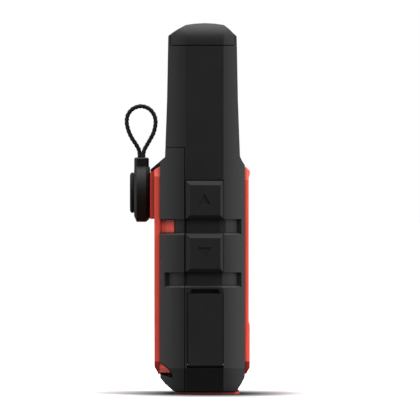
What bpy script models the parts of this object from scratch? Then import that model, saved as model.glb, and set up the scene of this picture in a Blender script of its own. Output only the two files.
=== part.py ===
"""Pocket satellite GPS communicator: housings, keys, caps, electronics and a lanyard adapter.

World axes: +Z up, the display faces -Y, +X is to the right of the display. The origin is on the
underside of the base plate. Dimensions are in millimetres and become metres when a mesh is made.
"""

import math

import bmesh
import bpy
from mathutils import Matrix, Vector

MM = 0.001
GAP = 0.2  # joint line between two shells
REACH = 40.0  # a cutter's reach beyond the part

# Overall size
WIDTH = 51.7  # over the key pads
HEIGHT = 99.0  # base to antenna crown
BASE_T = 0.65
BLACK_BOTTOM = BASE_T + GAP

# Side strips, with the curved flanks that lead to the front and back
PAD_X = WIDTH / 2
STRIP_X = PAD_X - 0.65
STRIP_FRONT, STRIP_BACK = -5.7, 4.4
STRIP_MID = (STRIP_FRONT + STRIP_BACK) / 2
BODY_FRONT, BODY_BACK = -11.4, 11.2
FLANK_END_X = 20.2
FLANK_TURN = math.radians(35)
FLANK_STEPS = 6
GROOVE_DEPTH = 1.1
GROOVE_X = STRIP_X - GROOVE_DEPTH
CAVITY_X = STRIP_X - 2.2

# The sides draw in towards the base, the right shoulder and the tower's crown
BASE_BEND_Z, BASE_SLOPE = 7.1, 0.752
SHOULDER_Z, SHOULDER_SLOPE = 58.8, 0.935

# Parting of the black housings
PART_Y = 4.66
PART_Z = 65.9
CAP_Z = 93.0

# Antenna tower
TOWER_OUT, TOWER_IN = -STRIP_X, -5.85
TOWER_X = (TOWER_OUT + TOWER_IN) / 2
TOWER_R = 5.2
CROWN_Z = HEIGHT + 0.5 - TOWER_R
BODY_TOP = 65.0

# Plates on the front and back
PLATE_X = 19.2
PLATE_LOW, FRONT_HIGH, BACK_HIGH = 5.4, 60.7, 61.6
FRONT_FLOOR, FRONT_PLATE_BACK = -10.85, -11.05
BACK_FLOOR, BACK_PLATE_FRONT = 10.3, 10.5
BACK_FACE = 12.76
BOSS_FACE = 13.96
BOSS_X = 8.0
BOSS_Z = (46.8, 60.0)

# Side grooves and pads, as (low, high) in Z
GROOVE_TOP = (43.0, 46.8)
GROOVE_LOW = (29.0, 32.6)
LIP = 0.5
TAB_DEPTH = (1.35, 2.15)  # the red tab's outer and inner faces under the skin
UP_PAD = (46.8, 57.06)
DOWN_PAD = (32.6, 43.0)
KEY_TRAVEL = 0.5
FLAP_Z = (7.45, 27.0)
FLAP_Y = (-5.55, 3.8)
FLAP_MID_Y = sum(FLAP_Y) / 2
FLAP_X = STRIP_X - 1.5
HINGE_X, HINGE_Z = STRIP_X - 0.65, FLAP_Z[0] + 0.55
PIN_R = 0.22
BUTTON_Z = 17.0

# Display and front controls
LENS_X, LENS_Z = 15.2, (20.5, 56.0)
LENS_FRONT, LENS_BACK = -12.25, -11.45
POWER_X, POWER_Z = 12.0, 13.2

# Boards and battery
PCB_Y = (-5.0, -4.0)
PCB_X = 18.6
SWITCH_Y = (-3.9, -1.5)
BATTERY_X = 13.9
SCREW_X = 16.2
SCREW_Z = (10.4, 56.6)

# Lanyard adapter
ADAPTER_Y = (14.28, 18.3)
ADAPTER_Z = 53.85
ADAPTER_R = 7.85
ADAPTER_CAP_R = 5.45
ADAPTER_BACK = 19.4
COLLAR_X, COLLAR_TOP = 3.4, 63.3
FOOT_X, FOOT_Z = 5.4, (51.0, 56.6)
SLOT_X = FOOT_X + 0.35
POCKET_Z = (34.0, 50.5)  # where the foot enters the slot
NECK_X = 3.4
ADAPTER_ORIGIN = (0.0, BOSS_FACE, ADAPTER_Z)
CORD_CENTRE = (0.0, 16.35)

# Cord centreline, (x, y, z): up one leg, round the loop and down the other
CORD_D = 1.2
CORD_ROUTE = [
    (0.42, 16.80, 60.6), (0.42, 16.82, 63.3), (0.40, 16.95, 65.15), (0.34, 17.72, 66.75),
    (0.26, 18.79, 68.35), (0.18, 19.59, 69.95), (0.10, 20.09, 71.55), (0.04, 20.28, 73.15),
    (0.0, 19.88, 74.95), (0.0, 18.55, 76.45), (0.0, 16.42, 77.10), (0.0, 14.28, 76.40),
    (0.0, 12.98, 74.85), (-0.04, 12.53, 73.15), (-0.10, 12.66, 71.55), (-0.18, 13.08, 69.95),
    (-0.26, 13.88, 68.35), (-0.34, 14.79, 66.75), (-0.42, 15.62, 65.15), (-0.46, 15.84, 63.3),
    (-0.46, 15.86, 60.6),
]

BLACK = (0.013, 0.013, 0.014)
RUBBER_BLACK = (0.016, 0.016, 0.017)
RED = (0.60, 0.062, 0.030)
DARK_GLASS = (0.010, 0.011, 0.012)
STEEL = (0.55, 0.55, 0.54)
GREEN_BOARD = (0.012, 0.075, 0.030)
SWITCH_GREY = (0.42, 0.42, 0.40)
NYLON = (0.62, 0.60, 0.55)

PARTS = bpy.data.collections.new("satellite_communicator")
CUTTERS = bpy.data.collections.new("cutters")


# ---------------------------------------------------------------- mesh helpers
def new_part(name, work):
    """The object for a finished edit mesh, with its faces pointing out."""
    bmesh.ops.recalc_face_normals(work, faces=work.faces)
    mesh = bpy.data.meshes.new(name)
    work.to_mesh(mesh)
    work.free()
    obj = bpy.data.objects.new(name, mesh)
    PARTS.objects.link(obj)
    return obj


def place(axis, outline, height):
    """The 2D outline as 3D points in metres, at this height along the axis."""
    orders = {
        "X": lambda a, b: (height, a, b),
        "Y": lambda a, b: (a, height, b),
        "Z": lambda a, b: (a, b, height),
    }
    return [Vector(orders[axis](a, b)) * MM for a, b in outline]


def prism(name, axis, outline, low, high):
    """A flat outline extruded along the axis, between two heights."""
    work = bmesh.new()
    face = work.faces.new([work.verts.new(point) for point in place(axis, outline, low)])
    made = bmesh.ops.extrude_face_region(work, geom=[face])["geom"]
    moved = [item for item in made if isinstance(item, bmesh.types.BMVert)]
    bmesh.ops.translate(work, verts=moved, vec=place(axis, [(0.0, 0.0)], high - low)[0])
    return new_part(name, work)


def skin(name, rings):
    """A closed solid skinned through rings of equally many points, with flat ends."""
    work = bmesh.new()
    loops = [[work.verts.new(point) for point in ring] for ring in rings]
    sides = []
    for lower, upper in zip(loops, loops[1:]):
        for i in range(len(lower)):
            sides.append(work.faces.new((lower[i - 1], lower[i], upper[i], upper[i - 1])))
    bmesh.ops.connect_verts_nonplanar(work, angle_limit=1e-3, faces=sides)
    work.faces.new(loops[0][::-1])
    work.faces.new(loops[-1])
    return new_part(name, work)


def loft(name, axis, sections):
    """A solid between unlike sections, given as (height, outline) along the axis."""
    return skin(name, [place(axis, outline, height) for height, outline in sections])


def rectangle(a, b, trim=0.0):
    """A rectangle from its two ranges, with its corners trimmed by this much."""
    (a0, a1), (b0, b1) = a, b
    if not trim:
        return [(a0, b0), (a1, b0), (a1, b1), (a0, b1)]
    return [
        (a0 + trim, b0), (a1 - trim, b0), (a1, b0 + trim), (a1, b1 - trim),
        (a1 - trim, b1), (a0 + trim, b1), (a0, b1 - trim), (a0, b0 + trim),
    ]


def circle(centre, radius, sides=16):
    a, b = centre
    angles = [2 * math.pi * (i + 0.5) / sides for i in range(sides)]
    return [(a + radius * math.cos(t), b + radius * math.sin(t)) for t in angles]


def box(name, x, y, z):
    """A box from its ranges along X, Y and Z."""
    ranges = (x, y, z)
    middle = Vector([(low + high) / 2 for low, high in ranges]) * MM
    size = Vector([high - low for low, high in ranges]) * MM
    work = bmesh.new()
    bmesh.ops.create_cube(work, size=1.0, matrix=Matrix.LocRotScale(middle, None, size))
    return new_part(name, work)


def rod(name, axis, centre, radius, low, high, sides=16):
    """A cylinder along the axis, between two heights."""
    quarter = math.pi / 2
    turn = {"X": Matrix.Rotation(quarter, 4, "Y"), "Y": Matrix.Rotation(quarter, 4, "X"), "Z": Matrix()}
    middle = Matrix.Translation(place(axis, [centre], (low + high) / 2)[0])
    work = bmesh.new()
    bmesh.ops.create_cone(
        work, cap_ends=True, segments=sides, radius1=radius * MM, radius2=radius * MM,
        depth=(high - low) * MM, matrix=middle @ turn[axis],
    )
    return new_part(name, work)


def turned(name, axis, centre, profile, sides=16):
    """A solid of revolution about the axis through the centre, from its (height, radius) profile."""
    outline = [(profile[0][0], 0.0), *profile, (profile[-1][0], 0.0)]
    line = [place(axis, [(radius, 0.0)], height)[0] for height, radius in reversed(outline)]
    work = bmesh.new()
    verts = [work.verts.new(point) for point in line]
    for upper, lower in zip(verts, verts[1:]):
        work.edges.new((upper, lower))
    obj = new_part(name, work)
    obj.location = place(axis, [centre], 0.0)[0]
    screw = obj.modifiers.new("turn", "SCREW")
    screw.axis = axis
    screw.steps = sides
    screw.render_steps = sides
    screw.use_merge_vertices = True
    screw.merge_threshold = 1e-6
    return obj


def boolean(target, other, operation):
    PARTS.objects.unlink(other)
    CUTTERS.objects.link(other)
    other.hide_render = True
    other.display_type = "WIRE"
    modifier = target.modifiers.new(other.name, "BOOLEAN")
    modifier.operation = operation
    modifier.solver = "EXACT"
    modifier.object = other


def cut(target, *others):
    for other in others:
        boolean(target, other, "DIFFERENCE")


def keep(target, *others):
    for other in others:
        boolean(target, other, "INTERSECT")


def join(target, *others):
    for other in others:
        boolean(target, other, "UNION")


def set_origin(obj, point):
    """Moves the origin, for instance onto a joint's axis, and leaves the shape where it is."""
    offset = Vector(point) * MM - obj.location
    obj.data.transform(Matrix.Translation(-offset))
    obj.location += offset


def finish(obj, colour, roughness, metallic=0.0):
    material = bpy.data.materials.new(obj.name)
    material.use_nodes = True
    shader = material.node_tree.nodes["Principled BSDF"]
    shader.inputs["Base Color"].default_value = (*colour, 1)
    shader.inputs["Roughness"].default_value = roughness
    shader.inputs["Metallic"].default_value = metallic
    obj.data.materials.append(material)
    if obj.type == "MESH":
        obj.data.shade_smooth()
        obj.data.set_sharp_from_angle(angle=math.radians(30))
    return obj


# ---------------------------------------------------------------- outlines
def arc(start, end, turn, steps):
    """Points from start to end on an arc that turns left by this angle."""
    (ax, ay), (bx, by) = start, end
    chord = math.hypot(bx - ax, by - ay)
    heading = math.atan2(by - ay, bx - ax) - turn / 2
    radius = chord / (2 * math.sin(turn / 2))
    points = []
    for i in range(steps + 1):
        half = turn * i / steps / 2
        reach = 2 * radius * math.sin(half)
        points.append((ax + reach * math.cos(heading + half), ay + reach * math.sin(heading + half)))
    return points


def side_outline():
    """The right side in plan, front to back: front flank, strip and back flank."""
    front = arc((FLANK_END_X, BODY_FRONT), (STRIP_X, STRIP_FRONT), FLANK_TURN, FLANK_STEPS)
    back = arc((STRIP_X, STRIP_BACK), (FLANK_END_X, BODY_BACK), FLANK_TURN, FLANK_STEPS)
    return front + back


def body_plan(left_inset, right_inset):
    """The whole body in plan, with each side drawn in by this much."""
    side = side_outline()
    return [(x - right_inset, y) for x, y in side] + [(left_inset - x, y) for x, y in reversed(side)]


def body_sections():
    """Plans of the body up its height, as (height, outline)."""
    sections = []
    for z in (0.3, BASE_BEND_Z, SHOULDER_Z, BODY_TOP + 1, CROWN_Z):
        base = max(BASE_BEND_Z - z, 0.0) * BASE_SLOPE
        shoulder = min(max(z - SHOULDER_Z, 0.0), BODY_TOP + 1 - SHOULDER_Z) * SHOULDER_SLOPE
        sections.append((z, body_plan(base, base + shoulder)))
    for i in range(1, 7):
        turn = math.radians(15 * i)
        inset = TOWER_R * (1 - math.cos(turn))
        sections.append((CROWN_Z + TOWER_R * math.sin(turn), body_plan(inset, shoulder)))
    return sections


def half_width(y, depth):
    """How far the side reaches in X at this Y, for a skin this deep under the surface."""
    outline = side_outline()
    inset = []
    for i, point in enumerate(outline):
        before = Vector(outline[max(i - 1, 0)])
        after = Vector(outline[min(i + 1, len(outline) - 1)])
        along = (after - before).normalized()
        inset.append((point[0] - along.y * depth, point[1] + along.x * depth))
    for (ax, ay), (bx, by) in zip(inset, inset[1:]):
        if ay <= y <= by:
            return ax + (bx - ax) * (y - ay) / (by - ay)
    return inset[0][0] if y < inset[0][1] else inset[-1][0]


def side_silhouette():
    """The whole device seen from the side, as (y, z)."""
    return [
        (-9.2, BLACK_BOTTOM), (-10.5, 2.8), (-11.3, 4.4), (-12.1, 6.0), (-12.74, 7.1),
        (-12.74, 18.6), (-12.45, 19.4), (-12.45, 57.8), (-12.76, 58.8), (-12.76, 59.6), (-11.7, 60.75),
        (-10.7, 62.2), (-10.1, 63.5), (-9.55, 78.5), (-9.3, 92.0), (-9.2, 95.5), (-8.5, 96.1), (-7.2, 97.4),
        (-5.8, 98.5), (-3.4, 98.85), (-0.75, HEIGHT), (2.0, 98.85), (4.3, 98.5), (6.4, 97.4),
        (8.55, 96.0), (9.03, 95.5), (9.1, 92.0), (9.35, 78.5), (9.9, 63.3), (BOSS_FACE, BOSS_Z[1]),
        (BOSS_FACE, 7.3), (12.7, 7.3), (12.0, 6.0), (11.2, 4.4), (9.9, 2.8), (8.0, 1.2), (7.6, BLACK_BOTTOM),
    ]


def front_silhouette():
    """The body's top and the tower's inner side, seen from the front, as (x, z)."""
    crown = arc((TOWER_IN, CROWN_Z), (TOWER_IN - TOWER_R, CROWN_Z + TOWER_R), math.pi / 2, 6)
    base = [(-REACH, BLACK_BOTTOM), (REACH, BLACK_BOTTOM)]
    step = [(REACH, BODY_TOP), (TOWER_IN + 1.6, BODY_TOP), (TOWER_IN, BODY_TOP + 1.6)]
    return base + step + crown + [(-REACH, CROWN_Z + TOWER_R)]


def housing_block(name):
    """The outside of the black housings, tower included."""
    block = loft(name, "Z", body_sections())
    keep(block, prism(name + "_side", "X", side_silhouette(), -REACH, REACH))
    keep(block, prism(name + "_front", "Y", front_silhouette(), -REACH, REACH))
    for y_flat, y_far in ((-5.4, -12.0), (4.1, 12.0)):
        outside = TOWER_IN + 3.0
        corner = [(outside, y_flat), (TOWER_IN, y_flat), (TOWER_IN - 4.6, y_far), (outside, y_far)]
        cut(block, prism(f"{name}_corner", "Z", corner, BODY_TOP + 0.02, HEIGHT + 2))
    return block


# ---------------------------------------------------------------- cutters in the housings
def cavity(name):
    """The room inside the body and the tower, open between the two halves."""
    plan = [
        (CAVITY_X, -5.2), (CAVITY_X, 4.2), (18.0, 9.3), (-18.0, 9.3), (-CAVITY_X, 4.2), (-CAVITY_X, -5.2),
        (-18.4, -9.4), (18.4, -9.4),
    ]
    front = [
        (-17.9, 2.6), (17.9, 2.6), (CAVITY_X, 8.3), (CAVITY_X, 57.8), (18.4, 63.2), (-CAVITY_X, 63.2),
        (-CAVITY_X, 8.3),
    ]
    room = prism(name, "Z", plan, 2.0, 64.0)
    keep(room, prism(name + "_front", "Y", front, -REACH, REACH))
    tower = rectangle((TOWER_OUT + 1.9, TOWER_IN - 1.9), (-7.7, 7.5), 2.8)
    join(room, prism(name + "_tower", "Z", tower, 60.0, HEIGHT + 5))
    return room


def side_groove(name, side, z, front_y, back_y):
    """A groove of even depth round one side, with a sloped lower lip and ramped ends."""
    sections = []
    steps = ((z[0] - LIP, -0.12), (z[0], 0.4), (z[0] + 0.02, GROOVE_DEPTH), (z[1], GROOVE_DEPTH))
    for height, inset in steps:
        start, end = front_y + 1.1 * inset, back_y - 1.05 * inset
        ys = [start + (end - start) * i / 14 for i in range(15)]
        floor = [(side * half_width(y, inset), y) for y in ys]
        back_end = [(side * (half_width(end, inset) + 0.9), end + 2.3), (side * REACH, end + 2.3)]
        front_end = [(side * REACH, start - 2.4), (side * (half_width(start, inset) + 0.56), start - 2.4)]
        sections.append((height, floor + back_end + front_end))
    return loft(name, "Z", sections)


def pad_pocket(name, side, z):
    x = sorted((side * (GROOVE_X + 0.1), side * REACH))
    return box(name, x, (STRIP_FRONT - 0.15, PART_Y + 0.2), (z[0] - 0.2, z[1] + 0.2))


def stem_hole(name, side, z):
    x = sorted((side * (CAVITY_X - 1), side * REACH))
    return box(name, x, (-4.6, 3.3), (z[0] + 1.7, z[1] - 3.3))


def flap_recess(name, side):
    """The recess under a hinged cap, with the nail slot at its top."""
    x = sorted((side * (FLAP_X - GAP), side * REACH))
    y = (FLAP_Y[0] - GAP, FLAP_Y[1] + GAP)
    opening = box(name, x, y, (FLAP_Z[0] - 0.3, FLAP_Z[1] + GAP))
    slot = [(-4.64, 26.6), (3.04, 26.6), (3.04, 27.8), (2.6, 28.15), (-4.2, 28.15), (-4.64, 27.8)]
    join(opening, prism(name + "_nail", "X", slot, *sorted((side * (FLAP_X - 0.05), side * REACH))))
    return opening


def cut_side_grooves(shell, tag):
    """The two grooves on both sides of one black housing."""
    for side in (-1, 1):
        mark = f"{tag}_{'left' if side < 0 else 'right'}"
        cut(shell, side_groove(f"{mark}_groove_top", side, GROOVE_TOP, -10.5, 12.8))
        cut(shell, side_groove(f"{mark}_groove_low", side, GROOVE_LOW, -10.5, 10.1))


def plate_outline(high, grow=0.0):
    """The outline of a red plate, seen from the front."""
    x, low, high = PLATE_X + grow, PLATE_LOW - grow, high + grow
    across, up = 2.8, 3.4
    right = [(x - across, low), (x, low + up), (x, high - up), (x - across, high)]
    return right + [(-a, b) for a, b in reversed(right)]


def shell_silhouette():
    """The back plate and spine boss from the side, as (y, z): the top tucks under the visor."""
    top = [(10.4, 61.45), (BOSS_FACE, 59.2)]
    bottom = [(BOSS_FACE, 7.3), (12.7, 7.3), (12.0, 6.0), (11.2, 4.4), (8.0, 4.4)]
    return [(8.0, 61.45)] + top + bottom


# ---------------------------------------------------------------- black housings
def front_housing():
    shell = housing_block("front_housing")
    cut(shell, box("front_split", (-REACH, REACH), (PART_Y - GAP / 2, REACH), (-5, PART_Z + GAP / 2)))
    cut(shell, cavity("front_cavity"))
    cut(shell, box("cap_seat", (-REACH, 0), (-8.87, 8.47), (CAP_Z - GAP / 2, HEIGHT + 5)))
    cut_side_grooves(shell, "front")
    for side in (-1, 1):
        mark = "left" if side < 0 else "right"
        for name, pad in (("up", UP_PAD), ("down", DOWN_PAD)):
            cut(shell, pad_pocket(f"{mark}_{name}_pocket", side, pad))
            cut(shell, stem_hole(f"{mark}_{name}_hole", side, pad))
        cut(shell, flap_recess(f"{mark}_flap_recess", side))
        hinge = (side * HINGE_X, HINGE_Z)
        cut(shell, rod(f"{mark}_pin_hole", "Y", hinge, PIN_R + 0.1, FLAP_Y[0] - 0.65, REACH, 10))
    cut(shell, box("usb_opening", (-REACH, -CAVITY_X + 1), (-4.6, 0.6), (14.6, 24.2)))
    cut(shell, rod("sos_opening", "X", (STRIP_MID, BUTTON_Z), 4.6, CAVITY_X - 1, REACH))
    cut(shell, prism("bezel_seat", "Y", plate_outline(FRONT_HIGH, GAP), -REACH, FRONT_FLOOR))
    cut(shell, box("lcd_window", (-12.6, 12.6), (-REACH, -8), (27.4, 52.6)))
    cut(shell, rod("led_window", "Y", (0, POWER_Z), 0.9, -REACH, -8, 10))
    opening_x, opening_z = (POWER_X - 2.6, POWER_X + 2.6), (POWER_Z - 1.6, POWER_Z + 1.6)
    cut(shell, box("power_opening", opening_x, (-REACH, -8), opening_z))
    for side in (-1, 1):
        for z in SCREW_Z:
            join(shell, screw_boss(f"boss_{side}_{z}", side, z))
    for side in (-1, 1):
        for z in SCREW_Z:
            cut(shell, rod(f"tap_{side}_{z}", "Y", (side * SCREW_X, z), 0.95, 0.0, REACH, 10))
    return finish(shell, BLACK, 0.5)


def screw_boss(name, side, z):
    """A post on the side wall that takes a housing screw."""
    x = sorted((side * (SCREW_X - 2.0), side * (CAVITY_X + 0.6)))
    return box(name, x, (-2.0, PART_Y - GAP / 2 - 0.35), (z - 2.1, z + 2.1))


def rear_housing():
    shell = housing_block("rear_housing")
    cut(shell, box("rear_split_front", (-REACH, REACH), (-REACH, PART_Y + GAP / 2), (-5, HEIGHT + 5)))
    cut(shell, box("rear_split_top", (-REACH, REACH), (-REACH, REACH), (PART_Z - GAP / 2, HEIGHT + 5)))
    cut(shell, cavity("rear_cavity"))
    cut_side_grooves(shell, "rear")
    cut(shell, prism("shell_seat", "Y", plate_outline(BACK_HIGH, GAP), BACK_FLOOR, REACH))
    visor = [(10.0, 62.0), (10.0, 63.2), (12.55, 61.15), (12.55, 60.39)]
    visor_tip = [(12.0, 60.74), (12.0, 61.6), (13.85, 60.1), (13.85, 59.57)]
    join(shell, prism("visor", "X", visor, -14.6, 14.6))
    join(shell, prism("visor_tip", "X", visor_tip, GAP - BOSS_X, BOSS_X - GAP))
    for side in (-1, 1):
        mark = "left" if side < 0 else "right"
        cut(shell, tab_slot(f"{mark}_tab_slot", side))
        cut(shell, corner_notch(f"{mark}_notch", side))
        for z in SCREW_Z:
            cut(shell, rod(f"clear_{side}_{z}", "Y", (side * SCREW_X, z), 1.25, 0, REACH, 12))
    return finish(shell, BLACK, 0.5)


def tab_slot(name, side):
    """Room for the red tab under the floor of the upper groove."""
    ys = [7.2 + 0.6 * i for i in range(8)]
    inner = [(side * half_width(y, TAB_DEPTH[1] + 0.3), y) for y in ys]
    outline = inner + [(side * REACH, 12.0), (side * REACH, 7.2)]
    return prism(name, "Z", outline, GROOVE_TOP[0] + 0.02, GROOVE_TOP[1] - 0.02)


def corner_notch(name, side):
    """The slot across each lower back corner, where the red lug shows."""
    outline = [(11.8, 9.1), (8.95, 7.1), (8.26, 6.1), (7.86, 5.2), (7.86, 4.4), (11.8, 5.55)]
    notch = prism(name, "X", outline, *sorted((side * 17.0, side * REACH)))
    step_back(notch, ((19.0, 10.2), (20.4, 9.2)))
    return notch


def step_back(obj, steps):
    """Takes away what lies inside X and in front of Y, for each (x, y) step, to clear the cavity."""
    for i, (x, y) in enumerate(steps):
        cut(obj, box(f"{obj.name}_step_{i}", (-x, x), (0, y), (0, 20)))


def antenna_cap():
    cap = housing_block("antenna_cap")
    keep(cap, box("cap_block", (-REACH, 0), (-8.7, 8.3), (CAP_Z + GAP / 2, HEIGHT + 5)))
    lip = rectangle((TOWER_OUT + 2.1, TOWER_IN - 2.1), (-7.5, 7.3), 2.8)
    room = rectangle((TOWER_OUT + 3.2, TOWER_IN - 3.2), (-6.4, 6.2), 2.6)
    join(cap, prism("cap_lip", "Z", lip, CAP_Z - 2.0, CAP_Z + 1.6))
    cut(cap, prism("cap_room", "Z", room, CAP_Z - 5, HEIGHT - 2.6))
    return finish(cap, BLACK, 0.5)


# ---------------------------------------------------------------- red plates
def front_bezel():
    plate = prism("front_bezel", "Y", plate_outline(FRONT_HIGH), -REACH, FRONT_PLATE_BACK)
    keep(plate, prism("bezel_side", "X", side_silhouette(), -REACH, REACH))
    window = rectangle((-LENS_X - GAP, LENS_X + GAP), (LENS_Z[0] - GAP, LENS_Z[1] + GAP), 4.0)
    cut(plate, prism("lens_window", "Y", window, -REACH, 0))
    key = rectangle((POWER_X - 3.9, POWER_X + 3.9), (POWER_Z - 2.9, POWER_Z + 2.9), 0.9)
    cut(plate, prism("power_window", "Y", key, -REACH, 0))
    cut(plate, rod("led_hole", "Y", (0, POWER_Z), 1.1, -REACH, 0, 12))
    return finish(plate, RED, 0.38)


def rear_shell():
    shell = prism("rear_shell", "Y", plate_outline(BACK_HIGH), BACK_PLATE_FRONT, REACH)
    keep(shell, prism("shell_side", "X", shell_silhouette(), -REACH, REACH))
    cut(shell, prism("beside_boss_left", "Y", rectangle((-REACH, -BOSS_X), (-5, HEIGHT)), BACK_FACE, REACH))
    cut(shell, prism("beside_boss_right", "Y", rectangle((BOSS_X, REACH), (-5, HEIGHT)), BACK_FACE, REACH))
    cut(shell, prism("under_boss", "Y", rectangle((-REACH, REACH), (-5, BOSS_Z[0])), BACK_FACE, REACH))
    slot_z = (POCKET_Z[0], FOOT_Z[1] + 0.3)
    cut(shell, box("t_slot", (-SLOT_X, SLOT_X), (11.95, 13.05), slot_z))
    cut(shell, box("t_mouth", (-NECK_X - 0.35, NECK_X + 0.35), (12.5, REACH), slot_z))
    cut(shell, box("entry_pocket", (-SLOT_X, SLOT_X), (12.5, REACH), POCKET_Z))
    for side in (-1, 1):
        mark = "left" if side < 0 else "right"
        join(shell, groove_tab(f"{mark}_tab", side))
        join(shell, corner_lug(f"{mark}_lug", side))
        for z in SCREW_Z:
            cut(shell, rod(f"head_{side}_{z}", "Y", (side * SCREW_X, z), 2.2, 11.5, REACH, 16))
            cut(shell, rod(f"shank_{side}_{z}", "Y", (side * SCREW_X, z), 1.25, 0, REACH, 12))
    return finish(shell, RED, 0.38)


def groove_tab(name, side):
    """The tab that wraps from the plate into the upper groove."""
    ys = [7.45, 8.3, 9.2, 10.0, 10.7]
    outer = [(side * half_width(y, TAB_DEPTH[0]), y) for y in ys]
    inner = [(side * half_width(y, TAB_DEPTH[1]), y) for y in reversed(ys)]
    root = [(PLATE_X + 0.4, 11.25), (PLATE_X - 2.0, 11.9), (PLATE_X - 2.0, 10.7)]
    outline = outer + [(side * x, y) for x, y in root] + inner
    return prism(name, "Z", outline, GROOVE_TOP[0] + GAP, GROOVE_TOP[1] - GAP)


def corner_lug(name, side):
    """The red lug that fills the upper part of the corner slot, just under the skin."""
    ys = [8.0, 8.8, 9.6, 10.2, 10.7]
    sections = []
    for z in (5.0, BASE_BEND_Z, 9.5):
        inset = max(BASE_BEND_Z - z, 0.0) * BASE_SLOPE
        outer = [(side * (half_width(y, 0.6) - inset), y) for y in ys]
        sections.append((z, outer + [(side * 17.4, 11.8), (side * 17.4, ys[0])]))
    lug = loft(name, "Z", sections)
    profile = [(11.4, 8.55), (9.05, 6.85), (8.55, 6.1), (8.55, 5.85), (11.4, 5.85)]
    keep(lug, prism(name + "_profile", "X", profile, -REACH, REACH))
    step_back(lug, ((19.25, BACK_PLATE_FRONT), (20.65, 9.45)))
    return lug


def base_plate():
    right = [(16.8, -9.9), (18.0, -8.6), (19.6, -5.0), (19.6, 4.0), (18.2, 6.2), (16.8, 7.4)]
    outline = right + [(-x, y) for x, y in reversed(right)]
    return finish(prism("base_plate", "Z", outline, 0.0, BASE_T), RED, 0.38)


# ---------------------------------------------------------------- display
def display_lens():
    edge = rectangle((-LENS_X, LENS_X), LENS_Z, 4.0)
    face = rectangle((-LENS_X + 0.35, LENS_X - 0.35), (LENS_Z[0] + 0.35, LENS_Z[1] - 0.35), 3.9)
    lens = loft("display_lens", "Y", [(LENS_FRONT, face), (LENS_FRONT + 0.3, edge), (LENS_BACK, edge)])
    return finish(lens, DARK_GLASS, 0.08)


def ring_plate(name, outer, inner, low, high):
    plate = prism(name, "Y", outer, low, high)
    cut(plate, prism(name + "_opening", "Y", inner, low - 2, high + 2))
    return plate


def display_stack():
    gasket = ring_plate(
        "lens_gasket",
        rectangle((-LENS_X + 0.4, LENS_X - 0.4), (LENS_Z[0] + 0.4, LENS_Z[1] - 0.4), 3.8),
        rectangle((-12.7, 12.7), (27.2, 52.8)),
        -11.35, -11.0,
    )
    finish(gasket, RUBBER_BLACK, 0.8)
    finish(box("lcd_panel", (-14.2, 14.2), (-9.2, -7.4), (25.4, 54.6)), (0.23, 0.26, 0.22), 0.35)
    outer, inner = rectangle((-14.8, 14.8), (24.6, 55.4)), rectangle((-11.5, 11.5), (28, 52))
    finish(ring_plate("lcd_frame", outer, inner, -7.2, -5.9), STEEL, 0.4, 1.0)
    led = rod("status_led", "Y", (0, POWER_Z), 0.7, -11.9, -5.9, 12)
    finish(led, (0.30, 0.55, 0.32), 0.25)


# ---------------------------------------------------------------- keys, buttons and caps
def pad_key(name, side, z, symbol):
    """A side key: a bevelled pad on a stem, with a recessed symbol. Its slide axis is X."""
    stem_back, base, shelf = CAVITY_X - 0.8, GROOVE_X + 0.72, STRIP_X
    mid_z = (z[0] + z[1]) / 2
    outer = rectangle((STRIP_FRONT + 0.03, STRIP_BACK - 0.03), (z[0] + 0.08, z[1] - 0.08), 0.05)
    face = rectangle((-4.88, 3.14), (z[0] + 1.0, z[1] - 1.26), 0.05)
    key = loft(name, "X", [(side * base, outer), (side * shelf, outer), (side * PAD_X, face)])
    stem_x = sorted((side * stem_back, side * (base + 0.5)))
    join(key, box(name + "_stem", stem_x, (-4.3, 3.0), (z[0] + 2.0, z[1] - 3.6)))
    for i, outline in enumerate(symbol):
        deep = sorted((side * (PAD_X - 0.28), side * REACH))
        moved = [(STRIP_MID + y, mid_z + up) for y, up in outline]
        cut(key, prism(f"{name}_mark_{i}", "X", moved, *deep))
    set_origin(key, (side * stem_back, STRIP_MID, mid_z))
    return finish(key, RUBBER_BLACK, 0.62)


def triangle(up):
    return [[(-1.75, -1.4 * up), (1.75, -1.4 * up), (0.0, 1.5 * up)]]


def bar(length, angle, width=0.55, centre=(0.0, 0.0)):
    """A straight stroke of a symbol."""
    along = Vector((math.cos(angle), math.sin(angle))) * length / 2
    across = Vector((-math.sin(angle), math.cos(angle))) * width / 2
    corners = [-along - across, along - across, along + across, -along + across]
    return [(centre[0] + c.x, centre[1] + c.y) for c in corners]


def cross_symbol():
    return [bar(3.4, math.radians(45)), bar(3.4, math.radians(-45))]


def check_symbol():
    short = bar(1.9, math.radians(-45), centre=(-1.1, -0.45))
    return [short, bar(3.5, math.radians(45), centre=(0.75, 0.1))]


def plunger_and_switch(tag, side, z):
    """A side-push switch on the board, with the plunger that the key carries."""
    x = sorted((side * 16.9, side * 20.4))
    finish(box(f"switch_{tag}", x, SWITCH_Y, (z - 2.2, z + 2.2)), SWITCH_GREY, 0.45, 0.8)
    x = sorted((side * (20.4 + KEY_TRAVEL + 0.1), side * (CAVITY_X - 1.0)))
    plunger = box(f"plunger_{tag}", x, (-3.5, -1.9), (z - 1.0, z + 1.0))
    set_origin(plunger, (x[0], (SWITCH_Y[0] + SWITCH_Y[1]) / 2, z))
    finish(plunger, NYLON, 0.5)


def side_keys():
    up_z, down_z = sum(UP_PAD) / 2, sum(DOWN_PAD) / 2
    pad_key("scroll_up_key", -1, UP_PAD, triangle(1))
    pad_key("scroll_down_key", -1, DOWN_PAD, triangle(-1))
    pad_key("back_key", 1, UP_PAD, cross_symbol())
    pad_key("ok_key", 1, DOWN_PAD, check_symbol())
    for tag, side, z in (("up", -1, up_z), ("down", -1, down_z), ("back", 1, up_z), ("ok", 1, down_z)):
        plunger_and_switch(tag, side, z)


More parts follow.
